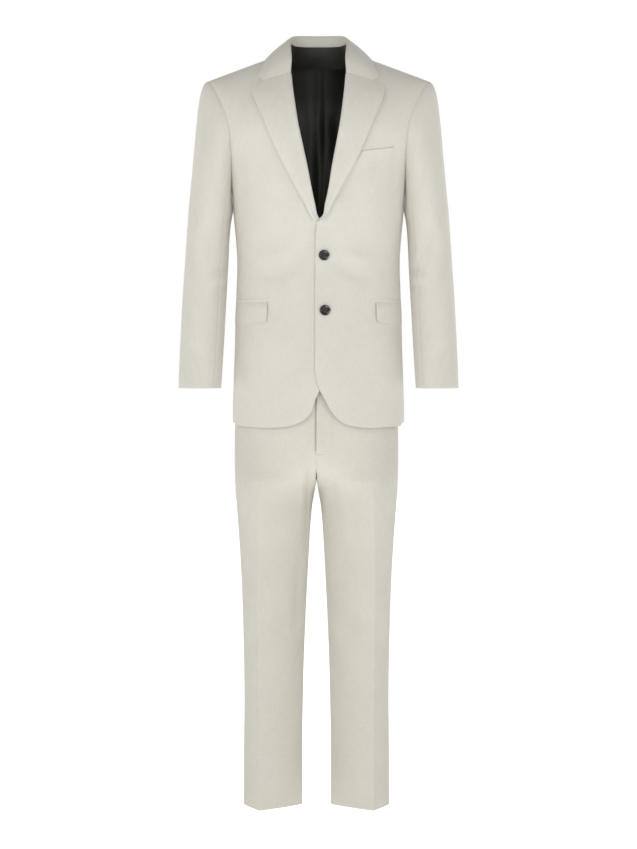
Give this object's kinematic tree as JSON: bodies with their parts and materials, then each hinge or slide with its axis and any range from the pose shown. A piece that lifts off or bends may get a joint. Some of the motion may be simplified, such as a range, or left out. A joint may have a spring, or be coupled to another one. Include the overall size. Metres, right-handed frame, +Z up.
{
  "type": "suit",
  "caption": "Pale two-piece suit filled out as if worn: notch-lapel jacket, buttoned, over straight pressed trousers, open at neck, cuffs and hems.",
  "frame": {"origin": "between the shoulders at the base of the neck, where the wearer holds the suit up", "axes": "+Z up, -Y to the suit's front, +X towards the wearer's left hand"},
  "size_m": [0.557, 0.2579, 1.5486],
  "materials": {
    "jacket_cloth": "matt plain-weave suiting, pale stone",
    "trouser_cloth": "matt plain-weave suiting, pale stone",
    "lining": "black satin with a soft sheen",
    "button": "polished black horn"
  },
  "bodies": {
    "root": {"jacket_front_left": "jacket_cloth", "jacket_front_right": "jacket_cloth", "jacket_side_left": "jacket_cloth", "jacket_side_right": "jacket_cloth", "jacket_back_left": "jacket_cloth", "jacket_back_right": "jacket_cloth", "sleeve_top_left": "jacket_cloth", "sleeve_top_right": "jacket_cloth", "sleeve_under_left": "jacket_cloth", "sleeve_under_right": "jacket_cloth", "lapel_left": "jacket_cloth", "lapel_right": "jacket_cloth", "collar": "jacket_cloth", "pocket_flap_left": "jacket_cloth", "pocket_flap_right": "jacket_cloth", "pocket_jet_left": "jacket_cloth", "pocket_jet_right": "jacket_cloth", "breast_welt": "jacket_cloth", "lining_back": "lining", "button_upper": "button", "button_lower": "button", "trouser_front_left": "trouser_cloth", "trouser_front_right": "trouser_cloth", "trouser_back_left": "trouser_cloth", "trouser_back_right": "trouser_cloth", "waistband": "trouser_cloth"}
  },
  "joints": []
}
